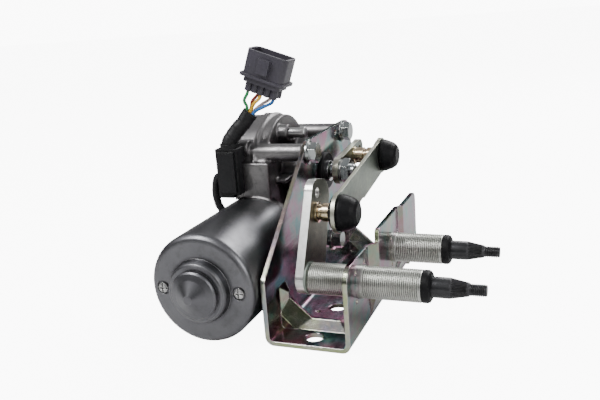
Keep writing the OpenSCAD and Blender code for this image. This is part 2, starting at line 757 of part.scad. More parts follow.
// one bush at each end of a sleeve
module pivot_bushes(x0, inner_len, at) {
  bore_r = shaft_r + run_clear;
  color(bronze) union() {
    tube_x(x0, x0 + inner_len, bush_r, bore_r, at);
    tube_x(sleeve_end - bush_len, sleeve_end, bush_r, bore_r, at);
  }
}
module driven_bushes() {
  pivot_bushes(driven_sleeve_x, bush_len, driven_at);
}
module idler_bushes() {
  pivot_bushes(idler_sleeve_x, 10, idle_at);
}
module seal_cap(at) {
  color([0.09, 0.09, 0.09]) difference() {
    turned_x([[sleeve_end, 0], [sleeve_end, 7.5], [sleeve_end + 0.5, 7.9],
      [sleeve_end + 2.6, 7.9], [sleeve_end + 3.6, 7.5], [sleeve_end + 4.3, 6.4],
      [sleeve_end + 4.3, 0]], at);
    rod_x(sleeve_end - 1, sleeve_end + 8, shaft_r + 0.05, at);
  }
}
module driven_seal_cap() {
  seal_cap(driven_at);
}
module idler_seal_cap() {
  seal_cap(idle_at);
}
module driven_washer() {
  color([0.42, 0.45, 0.42]) tube_x(17.1, 18.2, 8.3, shaft_r + 0.05, driven_at);
}
module idler_circlip() {
  color([0.20, 0.20, 0.20]) difference() {
    rod_x(43.65, 44.55, 6.6, idle_at);
    rod_x(43, 45, groove_r, idle_at);
    // gap at the bottom
    at_x(43, idle_at - [1.4, 9]) cube([2, 2.8, 9]);
  }
}

// ---- wiring ----
cable_x = -40;           // taped cable where it leaves the cover
cable_y = 59.3;
plug_origin = [-15.5, 65, 127.5];
plug_tilt = 20;
wires = [0:4];
wire_row = 3.0;          // distance of each row of tubes from the middle
wire_colors = [[0.12, 0.45, 0.22], [0.45, 0.16, 0.10], [0.85, 0.60, 0.12],
  [0.86, 0.74, 0.72], [0.10, 0.30, 0.60]];
// wires alternate between the two rows
function wire_x(i) = (i - 2) * 3.8;
function wire_side(i) = i % 2 == 0 ? -1 : 1;

module cable_cover() {
  color([0.08, 0.08, 0.08]) difference() {
    union() {
      translate([-47, 54, 61]) cube([13, 11, 26]);
      translate([-45.6, 52.8, 62.4]) cube([10.2, 2, 23]);
      rod_z(86, 89.5, 5.6, cable_x, cable_y);
      translate([-48.5, 57, 58.3]) cube([9, 7, 4]);
    }
    // room for the drum, its cover, one screw lug, a boss column and the can
    rod_x(-46, -20, drum_r + 1.6, output_at);
    rod_x(-52, -20, 5.2, lugs_at[1]);
    rod_x(-37.0, -20, 6, mount_at[0]);
    rod_y(50, 70, can_r + 0.2);
    // room for the flat pad
    translate([-36.7, 60.5, 49]) cube([20, 16, 29.3]);
    // passage for the taped cable
    rod_z(84, 91, 4.5, cable_x, cable_y);
  }
}
// taped cable up to the wires, and thin cable down to the motor mouth; [x, y, z]
module harness() {
  color([0.07, 0.07, 0.07]) union() {
    bent_bar([[cable_x, cable_y, 85], [cable_x, cable_y, 91], [-36.8, 61.2, 95],
      [-32.6, 62.8, 99.6], [-28.2, 64.4, 105.4]], 4.0);
    bent_bar([[-47.9, 60, 70], [-50.8, 60.4, 69], [-53, 61, 64], [-53.6, 62, 56],
      [-52, 63, 50], [-48.6, 63, 47.6]], 2.2);
  }
}
// frame of the tilted connector, z along the mating direction
module at_connector() {
  translate(plug_origin) rotate([0, plug_tilt, 0]) children();
}
// wires from the end of the tape to just below each tube
module lead_wires() {
  drop = 13.2;           // wire end below the connector's origin
  for (i = wires) {
    x = wire_x(i);
    tape_end = [-27.2 + (i - 2) * 1.15, 64.9 + wire_side(i) * 1.2, 106.9 - (i - 2) * 0.5];
    tube_end = plug_origin + [x * cos(plug_tilt) - drop * sin(plug_tilt),
      wire_side(i) * wire_row, -x * sin(plug_tilt) - drop * cos(plug_tilt)];
    color(wire_colors[i]) bar(tape_end, tube_end, 0.85);
  }
}
// upright block with rounded corners, half sizes x and y
module soft_block(x, y, z0, z1, r) {
  translate([-x + r, -y, z0]) cube([2 * (x - r), 2 * y, z1 - z0]);
  translate([-x, -y + r, z0]) cube([2 * x, 2 * (y - r), z1 - z0]);
  for (i = [-1, 1], j = [-1, 1]) rod_z(z0, z1, r, i * (x - r), j * (y - r));
}
module connector_housing() {
  color([0.16, 0.16, 0.18]) at_connector() difference() {
    union() {
      soft_block(12, 7.6, -3.4, 10, 3.6);
      soft_block(13.2, 8.7, -4.6, -3.2, 3);
      soft_block(10.8, 7.0, -7.4, -4.4, 2.4);
      // wire tubes
      for (i = wires, side = [-1, 1])
        rod_z(-12.6, -6.8, 2.05, wire_x(i), side * wire_row);
      // latch
      translate([-3.4, -9.4, -1]) cube([6.8, 2.4, 8]);
    }
    // mating cavity
    translate([-10.4, -5.8, 1]) cube([20.8, 11.6, 10]);
    for (i = wires) rod_z(-20, 2, 1.2, wire_x(i), wire_side(i) * wire_row);
  }
}
module connector_terminals() {
  color([0.80, 0.68, 0.36]) at_connector()
    for (i = wires) translate([wire_x(i), wire_side(i) * wire_row, 0]) {
      rod_z(-6, 1.2, 1.1, 0, 0);
      translate([-0.5, -0.5, 1]) cube([1, 1, 6.4]);
    }
}

placed() bracket();
placed() gear_housing();
placed() gear_cover();
placed() cover_screws();
placed() vent_stub();
placed() motor_can();
placed() bearing_cap();
placed() through_bolts();
placed() field_magnets();
placed() armature_core();
placed() armature_winding();
placed() commutator();
placed() worm_shaft();
placed() motor_rear_bush();
placed() motor_front_bush();
placed() worm_end_bush();
placed() brush_holder();
placed() brushes();
placed() worm_wheel();
placed() output_shaft();
placed() output_bush();
placed() shaft_seal_washer();
placed() crank_arm();
placed() crank_lock_washer();
placed() crank_nut();
placed() upper_ball_stud();
placed() lower_ball_stud();
placed() link_arm();
placed() ball_sockets();
placed() ball_caps();
placed() ball_seals();
placed() drive_lever();
placed() driven_shaft();
placed() driven_sleeve();
placed() driven_bushes();
placed() driven_seal_cap();
placed() driven_washer();
placed() idler_shaft();
placed() idler_sleeve();
placed() idler_bushes();
placed() idler_seal_cap();
placed() idler_circlip();
placed() mounting_bolts();
placed() cable_cover();
placed() harness();
placed() lead_wires();
placed() connector_housing();
placed() connector_terminals();
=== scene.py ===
"""Motor bracket with two bored sleeves, their shafts, a taped harness and five lead wires.

The sleeves and shafts lie along X. Lengths of the pieces are millimetres, counted from ORIGIN,
the first corner of the bracket's box; z is up. The stage and the lights are in metres.
"""
import json
import math

import bpy
from mathutils import Matrix, Vector, noise


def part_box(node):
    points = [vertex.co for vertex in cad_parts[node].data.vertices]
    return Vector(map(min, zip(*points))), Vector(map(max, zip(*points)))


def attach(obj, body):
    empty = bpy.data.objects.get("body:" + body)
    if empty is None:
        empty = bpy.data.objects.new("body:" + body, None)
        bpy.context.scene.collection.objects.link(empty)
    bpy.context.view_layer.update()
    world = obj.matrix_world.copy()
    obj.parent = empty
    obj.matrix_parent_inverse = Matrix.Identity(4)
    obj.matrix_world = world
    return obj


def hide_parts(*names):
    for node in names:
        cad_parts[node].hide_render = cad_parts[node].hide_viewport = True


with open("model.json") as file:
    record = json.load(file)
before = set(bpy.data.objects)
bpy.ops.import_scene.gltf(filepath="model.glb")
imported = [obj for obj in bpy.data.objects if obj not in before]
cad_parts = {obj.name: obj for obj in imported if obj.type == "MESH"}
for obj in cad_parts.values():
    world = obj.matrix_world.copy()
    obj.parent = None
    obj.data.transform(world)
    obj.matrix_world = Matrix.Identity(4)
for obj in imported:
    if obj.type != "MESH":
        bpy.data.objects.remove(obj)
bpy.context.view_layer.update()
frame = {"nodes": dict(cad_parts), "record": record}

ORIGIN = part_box("bracket")[0]
MM = 0.001
TAU = 2 * math.pi

# (y, z) of the two shaft axes
DRIVEN_AXIS = (21.0, 28.6)
IDLER_AXIS = (73.0, 28.6)
# x where both sleeves end and the bare shafts begin
SLEEVE_END = 74.7


# ---------------------------------------------------------------- shader graphs
class Graph:
    """Node tree, emptied and ready to be filled"""

    def __init__(self, tree):
        self.tree = tree
        tree.nodes.clear()

    def put(self, socket, value):
        """Set a socket to a number or a colour, or link an output to it"""
        if isinstance(value, (int, float)):
            socket.default_value = value
        elif isinstance(value, (tuple, list)):
            is_colour = len(value) == 3 and len(socket.default_value) == 4
            socket.default_value = (*value, 1.0) if is_colour else value
        else:
            self.tree.links.new(value, socket)

    def new(self, kind, inputs=None, **settings):
        node = self.tree.nodes.new(kind)
        for name, value in settings.items():
            setattr(node, name, value)
        for key, value in (inputs or {}).items():
            self.put(node.inputs[key], value)
        return node

    def ramp(self, value, *stops):
        """Colour ramp through (position, grey or colour) stops"""
        node = self.new("ShaderNodeValToRGB", {0: value})
        elements = node.color_ramp.elements
        while len(elements) < len(stops):
            elements.new(0.5)
        for element, (position, colour) in zip(elements, stops):
            if isinstance(colour, (int, float)):
                colour = (colour,) * 3
            element.position = position
            element.color = (*colour, 1)
        return node.outputs[0]


class Surface(Graph):
    """Material with one Principled shader; textures are placed in object space"""

    def __init__(self, name):
        self.material = bpy.data.materials.new(name)
        self.material.use_nodes = True
        super().__init__(self.material.node_tree)
        output = self.new("ShaderNodeOutputMaterial")
        self.shader = self.new("ShaderNodeBsdfPrincipled")
        self.put(output.inputs[0], self.shader.outputs[0])
        self.place = self.new("ShaderNodeTexCoord").outputs["Object"]

    def set(self, **values):
        """Fill Principled inputs; underscores in the names stand for spaces"""
        for name, value in values.items():
            self.put(self.shader.inputs[name.replace("_", " ")], value)

    def noise(self, scale, detail=4.0, roughness=0.55, stretch=None):
        place = self.place
        if stretch:
            place = self.new("ShaderNodeMapping", {0: place, "Scale": stretch}).outputs[0]
        inputs = {"Vector": place, "Scale": scale, "Detail": detail, "Roughness": roughness}
        return self.new("ShaderNodeTexNoise", inputs).outputs[0]

    def calc(self, operation, a, b=0.0, clamp=False):
        node = self.new("ShaderNodeMath", {0: a, 1: b}, operation=operation, use_clamp=clamp)
        return node.outputs[0]

    def mix(self, amount, under, over):
        inputs = {0: amount, 6: under, 7: over}
        return self.new("ShaderNodeMix", inputs, data_type="RGBA").outputs[2]

    def mask(self, value, start, end, amount):
        """Rise from 0 to amount while value goes from start to end"""
        return self.calc("MULTIPLY", self.ramp(value, (start, 0.0), (end, 1.0)), amount)

    def swing(self, value, middle, gain):
        """Departure of value from its middle, times gain"""
        return self.calc("MULTIPLY", self.calc("SUBTRACT", value, middle), gain)

    def object_normal(self, kind):
        """X, Y and Z of the normal in object space"""
        geometry = self.new("ShaderNodeNewGeometry")
        local = self.new("ShaderNodeVectorTransform", {0: geometry.outputs[kind]},
                         vector_type="NORMAL", convert_from="WORLD", convert_to="OBJECT")
        return self.new("ShaderNodeSeparateXYZ", {0: local.outputs[0]}).outputs

    def relief(self, radius, height, strength, depth):
        """Bump over edges rounded to radius; returns the rounded normal, if there is one"""
        rounded = None
        if radius:
            rounded = self.new("ShaderNodeBevel", {"Radius": radius * MM}, samples=4).outputs[0]
        inputs = {"Strength": strength, "Distance": depth * MM, "Height": height}
        bump = self.new("ShaderNodeBump", inputs)
        if rounded is not None:
            self.put(bump.inputs["Normal"], rounded)
        self.set(Normal=bump.outputs[0])
        return rounded

    def crevice(self, distance):
        """1 deep in a corner or groove, 0 in the open; the mask of the painted shade"""
        node = self.new("ShaderNodeAmbientOcclusion", {"Distance": distance * MM},
                        samples=6, only_local=True)
        return self.ramp(node.outputs["AO"], (0.30, 1.0), (0.86, 0.0))

    def edge_highlights(self, rounded, amount):
        """Rises to amount where the rounded normal leaves the true one; the mask of a painted
        highlight along edges
        """
        geometry = self.new("ShaderNodeNewGeometry")
        inputs = {0: geometry.outputs["Normal"], 1: rounded}
        dot = self.new("ShaderNodeVectorMath", inputs, operation="DOT_PRODUCT")
        edges = self.ramp(dot.outputs["Value"], (0.80, 1.0), (0.985, 0.0))
        return self.calc("MULTIPLY", edges, amount)


def shade(colour, gain, lift=0.0):
    return [channel * gain + lift for channel in colour]


# ---------------------------------------------------------------- materials
def chromated_zinc(name):
    """Zinc with a thin film whose tint drifts in clouds and follows the way a face points, which
    also paints light and shade on it
    """
    silver, yellow = (0.27, 0.25, 0.25), (0.34, 0.44, 0.14)
    pink, teal = (0.40, 0.12, 0.24), (0.07, 0.26, 0.26)
    s = Surface(name)
    normal = s.object_normal("Normal")
    broad = s.noise(scale=34, detail=5, roughness=0.6)
    clouds = s.noise(scale=95, roughness=0.6)
    facing = s.new("ShaderNodeLayerWeight", {0: 0.35}).outputs["Facing"]
    drift = s.calc("ADD", s.calc("MULTIPLY", broad, 0.75), s.calc("MULTIPLY", facing, 0.45))
    film = s.ramp(drift, (0.22, yellow), (0.40, silver), (0.52, pink), (0.66, teal),
                  (0.82, yellow))
    colour = s.mix(0.90, silver, film)

    # faces towards -Y go pale yellow green: the film's tint with painted light
    green = s.ramp(s.noise(scale=60, roughness=0.6), (0.40, shade(yellow, 0.8, 0.12)),
                   (0.56, (0.50, 0.54, 0.42)), (0.66, shade(teal, 0.5, 0.26)))
    toward_minus_y = s.calc("MULTIPLY", normal[1], -1.0, clamp=True)
    colour = s.mix(s.calc("MULTIPLY", toward_minus_y, 0.8), colour, green)

    # faces towards +X go pink and blue, darker: the film's tint with painted shade
    toward_plus_x = s.calc("MULTIPLY", normal[0], 1.0, clamp=True)
    pale_pink = [0.4 * (p + q) for p, q in zip(pink, silver)]
    shaded_pink_blue = s.ramp(clouds, (0.36, shade(pink, 0.75)), (0.47, pale_pink),
                       (0.54, shade(silver, 0.8)), (0.64, shade(teal, 0.8)))
    colour = s.mix(s.calc("MULTIPLY", toward_plus_x, 0.60), colour, shaded_pink_blue)

    grain = s.noise(scale=1400, detail=3)
    scratches = s.noise(scale=260, roughness=0.7, stretch=(1.0, 0.12, 1.0))
    specks = s.mask(s.noise(scale=420, detail=6, roughness=0.75), start=0.60, end=0.72, amount=0.5)
    colour = s.mix(specks, colour, shade(silver, 0.45))
    height = s.calc("ADD", s.calc("MULTIPLY", grain, 0.4),
                    s.calc("ADD", scratches, s.calc("MULTIPLY", clouds, 1.2)))
    rounded = s.relief(radius=1.0, height=height, strength=0.10, depth=0.10)
    # painted highlight: the edges turn bright silver
    colour = s.mix(s.edge_highlights(rounded, amount=0.6), colour, shade(silver, 2.4, 0.05))
    rough = s.calc("ADD", 0.13, s.swing(scratches, middle=0.4, gain=0.35), clamp=True)
    s.set(Base_Color=colour, Metallic=1.0, Roughness=rough)
    return s.material


def metal(name, base, cloud, rough=0.3, spread=0.12, scale=45, bump=0.12, fine=900, radius=0.45,
          edge=None, dirt=None, brushed=None, metallic=1.0, depth=0.08, painted_shade=0.0, rim=None):
    """Clouded metal.

    base, cloud: the two colours      rough, spread: roughness and how far it strays
    scale, fine: noise scales         bump, depth: strength and height (mm) of the relief
    radius: edge rounding (mm)        edge, dirt, rim: colours of the painted highlight on edges, of spots, of sheared edges
    brushed: stretch of the grain     grime: reach of the painted shade in corners (mm)
    """
    s = Surface(name)
    big = s.noise(scale, detail=5)
    small = s.noise(fine, detail=3, stretch=brushed)
    spots = s.noise(scale * 7, detail=6, roughness=0.7)
    colour = s.mix(s.ramp(big, (0.36, 0.0), (0.64, 1.0)), base, cloud)
    colour = s.mix(s.mask(small, start=0.3, end=0.75, amount=0.22), colour, shade(base, 0.62))
    if dirt:
        colour = s.mix(s.mask(spots, start=0.52, end=0.72, amount=0.45), colour, dirt)
    height = s.calc("ADD", s.calc("MULTIPLY", small, 0.7), s.calc("MULTIPLY", spots, 0.5))
    rounded = s.relief(radius, height, strength=bump, depth=depth)
    if edge:
        # painted highlight: the edges take the edge colour
        colour = s.mix(s.edge_highlights(rounded, amount=0.75), colour, edge)
    if rim:
        # on flat parts that lie across X, the sheared edges are brighter than the faces
        across = s.calc("ABSOLUTE", s.object_normal("True Normal")[0])
        sheared = s.calc("SUBTRACT", 1.0, across, clamp=True)
        patchy = s.ramp(spots, (0.30, 0.75), (0.62, 1.0))
        colour = s.mix(s.calc("MULTIPLY", sheared, patchy), colour, rim)
    if painted_shade:
        # painted shade: corners and grooves darken to near black
        colour = s.mix(s.crevice(painted_shade), colour, shade(cloud, 0.12))
    roughness = s.calc("ADD", s.swing(spots, middle=0.5, gain=spread * 2), rough)
    roughness = s.calc("ADD", roughness, s.swing(small, middle=0.5, gain=spread), clamp=True)
    s.set(Base_Color=colour, Metallic=metallic, Roughness=roughness, Coat_Roughness=0.15)
    return s.material


def polymer(name, base, cloud, rough=0.45, scale=60, bump=0.15, fine=1300, radius=0.3,
            specular=0.5, depth=0.06, dust=None):
    """Clouded plastic, rubber or tape; the arguments are those of metal, dust is a spot colour"""
    s = Surface(name)
    big = s.noise(scale, detail=5)
    small = s.noise(fine, detail=3)
    colour = s.mix(s.ramp(big, (0.35, 0.0), (0.65, 1.0)), base, cloud)
    if dust:
        spots = s.noise(scale * 4, detail=6, roughness=0.7)
        colour = s.mix(s.mask(spots, start=0.52, end=0.75, amount=0.35), colour, dust)
    s.relief(radius, small, strength=bump, depth=depth)
    roughness = s.calc("ADD", rough, s.swing(big, middle=0.5, gain=0.24), clamp=True)
    s.set(Base_Color=colour, Roughness=roughness, Specular_IOR_Level=specular)
    return s.material


METALS = {
    "cast_alloy": dict(
        base=(0.27, 0.262, 0.262), cloud=(0.17, 0.165, 0.168), rough=0.42, spread=0.14, scale=30,
        bump=0.55, fine=700, radius=0.8, edge=(0.60, 0.60, 0.59), dirt=(0.05, 0.05, 0.05),
        depth=0.16, painted_shade=3.5),
    "can_steel": dict(
        base=(0.18, 0.18, 0.19), cloud=(0.12, 0.12, 0.13), rough=0.36, spread=0.06, scale=18,
        bump=0.10, fine=1100, radius=0.7, edge=(0.42, 0.42, 0.43), dirt=(0.08, 0.08, 0.08),
        painted_shade=3.0),
    "link_zinc": dict(
        base=(0.24, 0.27, 0.22), cloud=(0.16, 0.185, 0.16), rough=0.36, scale=60, bump=0.14,
        radius=0.3, edge=(0.66, 0.67, 0.58), dirt=(0.11, 0.12, 0.10), rim=(0.58, 0.58, 0.48),
        painted_shade=1.2),
    "lever_steel": dict(
        base=(0.22, 0.22, 0.16), cloud=(0.13, 0.135, 0.10), rough=0.32, scale=50, bump=0.16,
        radius=0.35, edge=(0.80, 0.80, 0.76), dirt=(0.10, 0.10, 0.08), rim=(0.84, 0.84, 0.82),
        painted_shade=1.5),
    "bright_zinc": dict(
        base=(0.66, 0.67, 0.63), cloud=(0.54, 0.55, 0.51), rough=0.34, spread=0.06, scale=70,
        bump=0.05, radius=0.0, dirt=(0.40, 0.39, 0.35), painted_shade=0.5),
    "stud_gold": dict(
        base=(0.74, 0.62, 0.40), cloud=(0.58, 0.44, 0.34), rough=0.22, scale=90, bump=0.10,
        radius=0.3, edge=(0.90, 0.84, 0.70), dirt=(0.26, 0.19, 0.11), painted_shade=0.8),
    "bolt_zinc": dict(
        base=(0.50, 0.53, 0.52), cloud=(0.38, 0.41, 0.41), rough=0.22, spread=0.06, scale=70,
        bump=0.06, radius=0.35, edge=(0.90, 0.90, 0.86), dirt=(0.34, 0.35, 0.32), painted_shade=0.9),
    "screw_steel": dict(
        base=(0.56, 0.56, 0.55), cloud=(0.42, 0.42, 0.42), rough=0.32, scale=120, bump=0.15,
        radius=0.25, edge=(0.80, 0.80, 0.78), painted_shade=1.0),
    "black_shaft": dict(
        base=(0.030, 0.030, 0.033), cloud=(0.055, 0.055, 0.058), rough=0.33, scale=90, bump=0.18,
        radius=0.2, edge=(0.22, 0.22, 0.22), metallic=0.7, painted_shade=0.6),
    "bronze": dict(
        base=(0.62, 0.42, 0.20), cloud=(0.50, 0.33, 0.16), rough=0.42, scale=120, bump=0.3,
        fine=2200, radius=0.2),
    "copper": dict(
        base=(0.72, 0.36, 0.18), cloud=(0.55, 0.26, 0.13), rough=0.32, scale=140, bump=0.2,
        radius=0.15),
    "ferrite": dict(
        base=(0.10, 0.10, 0.11), cloud=(0.07, 0.07, 0.075), rough=0.55, metallic=0.2, scale=80,
        bump=0.35),
    "core_steel": dict(
        base=(0.32, 0.32, 0.34), cloud=(0.24, 0.24, 0.26), rough=0.42, scale=60, bump=0.6,
        fine=1500, brushed=(0.05, 1.0, 0.05)),
    "ground_steel": dict(
        base=(0.62, 0.63, 0.64), cloud=(0.52, 0.53, 0.54), rough=0.22, scale=90, bump=0.12,
        radius=0.2, edge=(0.85, 0.85, 0.85)),
}
POLYMERS = {
    "black_rubber": dict(
        base=(0.0035, 0.0035, 0.004), cloud=(0.008, 0.008, 0.009), rough=0.46, bump=0.18,
        radius=0.5, specular=0.14, dust=(0.014, 0.014, 0.014)),
    "black_plastic": dict(
        base=(0.005, 0.005, 0.006), cloud=(0.010, 0.010, 0.011), rough=0.42, bump=0.30,
        radius=0.5, specular=0.25, dust=(0.018, 0.018, 0.018)),
    "grey_plastic": dict(
        base=(0.050, 0.046, 0.060), cloud=(0.034, 0.031, 0.042), rough=0.40, bump=0.22,
        radius=0.4, dust=(0.08, 0.08, 0.085)),
    "white_plastic": dict(base=(0.80, 0.79, 0.72), cloud=(0.70, 0.69, 0.62), rough=0.40),
    "brown_plastic": dict(base=(0.14, 0.08, 0.05), cloud=(0.10, 0.06, 0.04), rough=0.5, bump=0.2),
    "tape": dict(
        base=(0.005, 0.005, 0.0055), cloud=(0.012, 0.012, 0.013), rough=0.50, bump=0.7,
        fine=2600, radius=0.0, depth=0.12, specular=0.3, dust=(0.02, 0.02, 0.02)),
    "grey_seal": dict(base=(0.24, 0.28, 0.24), cloud=(0.16, 0.19, 0.17), rough=0.5, bump=0.2),
}
# name, base colour, cloud colour
WIRE_COLOURS = [
    ("wire_green", (0.03, 0.30, 0.10), (0.02, 0.22, 0.07)),
    ("wire_brown", (0.32, 0.05, 0.03), (0.22, 0.03, 0.02)),
    ("wire_yellow", (0.85, 0.50, 0.04), (0.72, 0.40, 0.03)),
    ("wire_pale", (0.80, 0.66, 0.62), (0.70, 0.56, 0.54)),
    ("wire_blue", (0.03, 0.16, 0.46), (0.02, 0.11, 0.34)),
]

MATERIALS = {"bracket_zinc": chromated_zinc("bracket_zinc")}
for name, look in METALS.items():
    MATERIALS[name] = metal(name, **look)
for name, look in POLYMERS.items():
    MATERIALS[name] = polymer(name, **look)
WIRE_MATERIALS = [polymer(name, base, cloud, rough=0.36, radius=0)
                  for name, base, cloud in WIRE_COLOURS]
MATERIALS["wires"] = WIRE_MATERIALS[1]

for subpart in frame["record"]["subparts"]:
    slots = frame["nodes"][subpart["node"]].data.materials
    slots.clear()
    slots.append(MATERIALS[subpart["material_slot"]])


def soften(piece, voxel, times):
    """Round every edge and inside corner the way casting does"""
    skin = piece.modifiers.new("skin", "REMESH")
    skin.mode = "VOXEL"
    skin.voxel_size = voxel * MM
    skin.use_smooth_shade = True
    soft = piece.modifiers.new("soft", "SMOOTH")
    soft.factor = 0.5
    soft.iterations = times


soften(frame["nodes"]["gear_housing"], voxel=0.60, times=6)


# ---------------------------------------------------------------- mesh helpers
def add_object(name, data):
    item = bpy.data.objects.new(name, data)
    bpy.context.scene.collection.objects.link(item)
    return item


def add_piece(name, verts, faces, materials, sharp, body, node, face_materials=None):
    """Smooth mesh from verts in metres from ORIGIN, sharp above an angle, in place of a node"""
    mesh = bpy.data.meshes.new(name)
    mesh.from_pydata([(x + ORIGIN.x, y + ORIGIN.y, z + ORIGIN.z) for x, y, z in verts], [], faces)
    mesh.validate()
    piece = add_object(name, mesh)
    for material in materials:
        mesh.materials.append(material)
    for i, face in enumerate(mesh.polygons):
        face.use_smooth = True
        if face_materials:
            face.material_index = face_materials[i]
    mesh.set_sharp_from_angle(angle=math.radians(sharp))
    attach(piece, body)
    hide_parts(node)


def ring_faces(rings, segments, base=0):
    """Quads between neighbouring rings of points"""
    faces = []
    for i in range(rings - 1):
        near, far = base + i * segments, base + (i + 1) * segments
        for j in range(segments):
            k = (j + 1) % segments
            faces.append((near + j, near + k, far + k, far + j))
    return faces


def end_caps(rings, segments, base=0):
    last = base + (rings - 1) * segments
    return [tuple(base + j for j in reversed(range(segments))),
            tuple(last + j for j in range(segments))]


def lathe(name, node, body, slot, stations, radius_at, axis, segments, sharp, bore=0.0):
    """Turned piece along X, closed at both ends or bored; radius_at takes x and the angle"""
    verts = []

    def add_ring(x, radius_at):
        for j in range(segments):
            angle = TAU * j / segments
            radius = radius_at(x, angle)
            verts.append((x * MM, (axis[0] + radius * math.cos(angle)) * MM,
                          (axis[1] + radius * math.sin(angle)) * MM))

    for x in stations:
        add_ring(x, radius_at)
    rings = len(stations)
    faces = ring_faces(rings, segments)
    if bore:
        last = (rings - 1) * segments
        start = len(verts)
        end = start + segments
        for x in (stations[0], stations[-1]):
            add_ring(x, lambda x, angle: bore)
        for j in range(segments):
            k = (j + 1) % segments
            faces.append((start + j, end + j, end + k, start + k))
            faces.append((j, start + j, start + k, k))
            faces.append((last + j, last + k, end + k, end + j))
    else:
        faces += end_caps(rings, segments)
    # the rings run with x and angle rising: turn the faces outward
    faces = [tuple(reversed(face)) for face in faces]
    add_piece(name, verts, faces, [MATERIALS[slot]], sharp, body, node)


def stations_along(extra, *spans):
    """Sorted x stations: the extra ones, and those of (start, end, step) spans"""
    found = list(extra)
    for start, end, step in spans:
        count = max(1, round((end - start) / step))
        found += [start + (end - start) * i / count for i in range(count + 1)]
    return sorted({round(x, 5) for x in found})


def ease(t):
    t = max(0.0, min(1.0, t))
    return t * t * (3 - 2 * t)


def thread(x, angle, crest, pitch, depth):
    """Radius of a screw thread: crest, flank down, root, flank up in each pitch"""
    turn = (x / pitch - angle / TAU) % 1.0
    if turn < 0.15:
        cut = 0.0
    elif turn < 0.5:
        cut = (turn - 0.15) / 0.35
    elif turn < 0.62:
        cut = 1.0
    else:
        cut = 1.0 - (turn - 0.62) / 0.38
    return crest - depth * cut


# ---------------------------------------------------------------- sleeves
SLEEVE_CHAMFER = 0.6
SLEEVE_SEAT_RADIUS = 8.2
SLEEVE_BORE = 6.4
SLEEVE_STEP = 0.125
RUNOUT = 0.9  # length over which the thread fades


def sleeve(name, node, axis, start, seat_start, seat_end):
    """Threaded along its length, plain where it is seated in the bracket wall"""
    chamfer_end = start + SLEEVE_CHAMFER

    def radius_at(x, angle):
        if x < chamfer_end:
            return 7.45 + (x - start) / SLEEVE_CHAMFER * 0.5
        if seat_start <= x <= seat_end:
            return SLEEVE_SEAT_RADIUS
        if x > seat_end:
            fade = ease((x - seat_end) / RUNOUT) * ease((SLEEVE_END - 0.1 - x) / RUNOUT)
        else:
            fade = ease((seat_start - x) / RUNOUT)
        end_round = 0.3 * (1 - ease((SLEEVE_END - x) / 0.7))
        return thread(x, angle, crest=7.98, pitch=1.0, depth=0.60 * fade) - end_round

    spans = [(max(seat_start, chamfer_end), seat_end, 1.0),
             (seat_end + 0.01, SLEEVE_END, SLEEVE_STEP)]
    if seat_start > start + 1:
        spans.append((start + 0.3, seat_start - 0.01, SLEEVE_STEP))
    lathe(name, node, "frame", "bright_zinc", stations_along([start], *spans), radius_at, axis,
          segments=72, sharp=70, bore=SLEEVE_BORE)


sleeve("driven_sleeve_thread", "driven_sleeve", DRIVEN_AXIS,
       start=18.25, seat_start=41.0, seat_end=46.0)
sleeve("idler_sleeve_thread", "idler_sleeve", IDLER_AXIS,
       start=44.8, seat_start=44.8, seat_end=49.4)

# ---------------------------------------------------------------- shafts
SHAFT_RADIUS = 5.0
KNURL_START = SLEEVE_END + 12.6
KNURL_END = SLEEVE_END + 21.2
TIP_START = SLEEVE_END + 21.5  # threaded tip
TIP_TAPER = SLEEVE_END + 28.3
SHAFT_END = SLEEVE_END + 29.4
TIP_CREST = 2.98
TIP_PITCH = 0.9

# (x, radius) along the low-x end of each shaft
DRIVEN_HEAD = [(11.4, 4.2), (11.4001, 5.0), (12.0, 6.2), (12.8, 6.4), (12.801, 5.0)]
IDLER_HEAD = [(42.6, 4.2), (43.1, 5.0), (43.6, 5.0), (43.601, 4.3), (44.6, 4.3), (44.601, 5.0)]


def shaft(name, node, body, axis, head):
    """Head, plain length, tapering knurl and threaded tip"""
    head_end = head[-1][0]
    pairs = list(zip(head, head[1:]))

    def radius_at(x, angle):
        if x <= head_end:
            for (xa, ra), (xb, rb) in pairs:
                if xa <= x <= xb:
                    return ra + (rb - ra) * (x - xa) / max(1e-6, xb - xa)
        if x < KNURL_START:
            return SHAFT_RADIUS
        if x <= KNURL_END:
            t = (x - KNURL_START) / (KNURL_END - KNURL_START)
            groove = 0.42 * ease(t * 6) * ease((1 - t) * 8)
            return SHAFT_RADIUS - 1.7 * t - groove * abs(math.sin(angle * 18))
        if x <= TIP_START:
            return 3.0
        depth = 0.45 * ease((x - TIP_START) / 0.8)
        radius = thread(x, angle, TIP_CREST, TIP_PITCH, depth)
        past = x - TIP_TAPER
        return radius if past < 0 else min(radius, TIP_CREST - 0.42 * past)

    corners = [x for (xa, _), (xb, _) in pairs for x in (xa, xb - 1e-4)]
    stations = stations_along(
        corners, (head_end + 1e-3, KNURL_START, 6.0),
        (SLEEVE_END + 12.61, SLEEVE_END + 21.19, 0.43), (KNURL_END, SLEEVE_END + 21.45, 0.25),
        (TIP_START, SHAFT_END, TIP_PITCH / 8))
    lathe(name, node, body, "black_shaft", stations, radius_at, axis, segments=144, sharp=40)


shaft("driven_shaft_knurled", "driven_shaft", "driven", DRIVEN_AXIS, DRIVEN_HEAD)
shaft("idler_shaft_knurled", "idler_shaft", "idler", IDLER_AXIS, IDLER_HEAD)


# ---------------------------------------------------------------- wiring
def spline(points, count):
    """Smooth path through points, count steps from each to the next"""
    P = [Vector(p) for p in points]
    P = [P[0] * 2 - P[1]] + P + [P[-1] * 2 - P[-2]]
    path = []
    for a, b, c, d in zip(P, P[1:], P[2:], P[3:]):
        for k in range(count):
            t = k / count
            path.append(0.5 * ((2 * b) + (c - a) * t + (2 * a - 5 * b + 4 * c - d) * t * t
                               + (3 * b - a - 3 * c + d) * t ** 3))
    path.append(P[-2])
    return path


